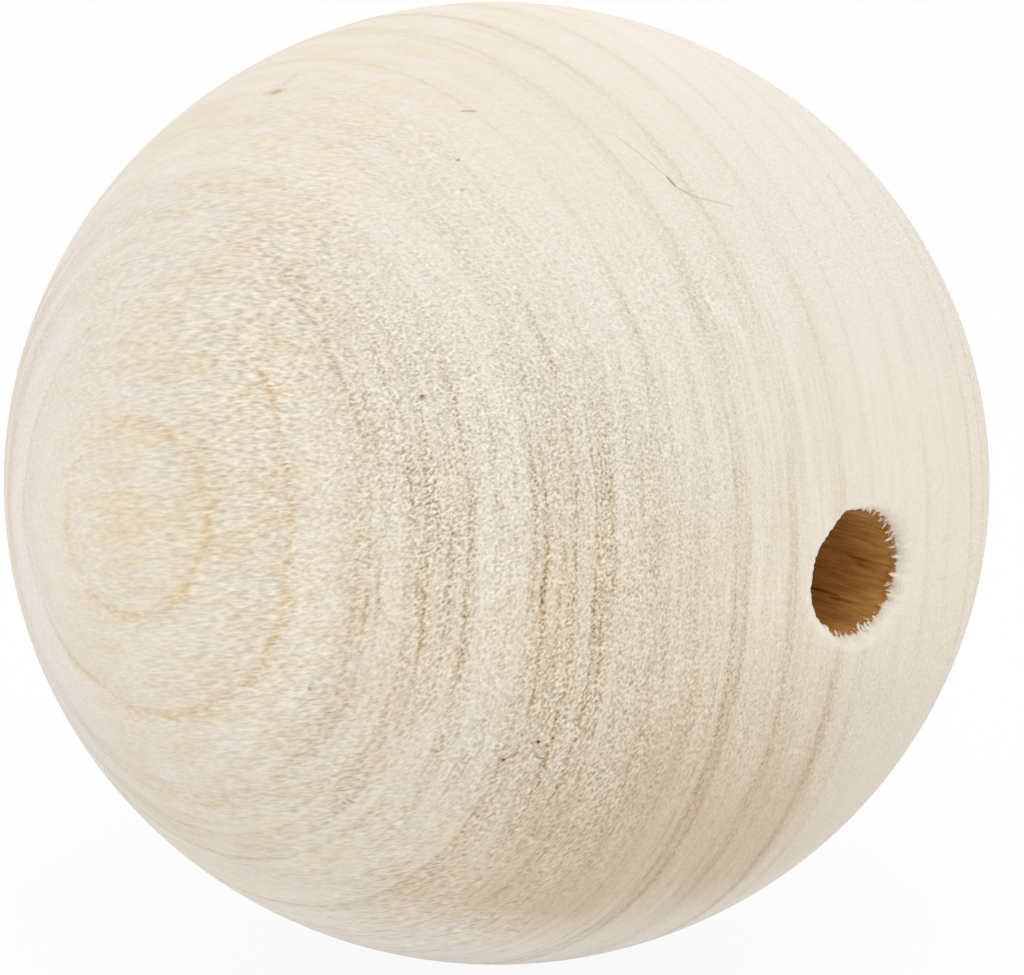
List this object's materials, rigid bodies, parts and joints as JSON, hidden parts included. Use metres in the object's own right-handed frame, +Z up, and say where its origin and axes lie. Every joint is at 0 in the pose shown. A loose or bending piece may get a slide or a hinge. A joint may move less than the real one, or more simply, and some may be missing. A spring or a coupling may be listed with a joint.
{
  "type": "wooden ball",
  "caption": "Plain turned wooden ball, slightly oval from drying, with a straight bore through its middle along the grain and rounded edges at both mouths.",
  "frame": {"origin": "centre of the ball, halfway along the bore", "axes": "+Y along the bore and the grain, +Z up along the growth rings, the ball's short way, and +X square to the growth rings, towards the tree's pith"},
  "size_m": [0.06, 0.0592, 0.0584],
  "materials": {
    "wood": "bare, sanded"
  },
  "bodies": {
    "root": {"ball": "wood"}
  },
  "joints": []
}
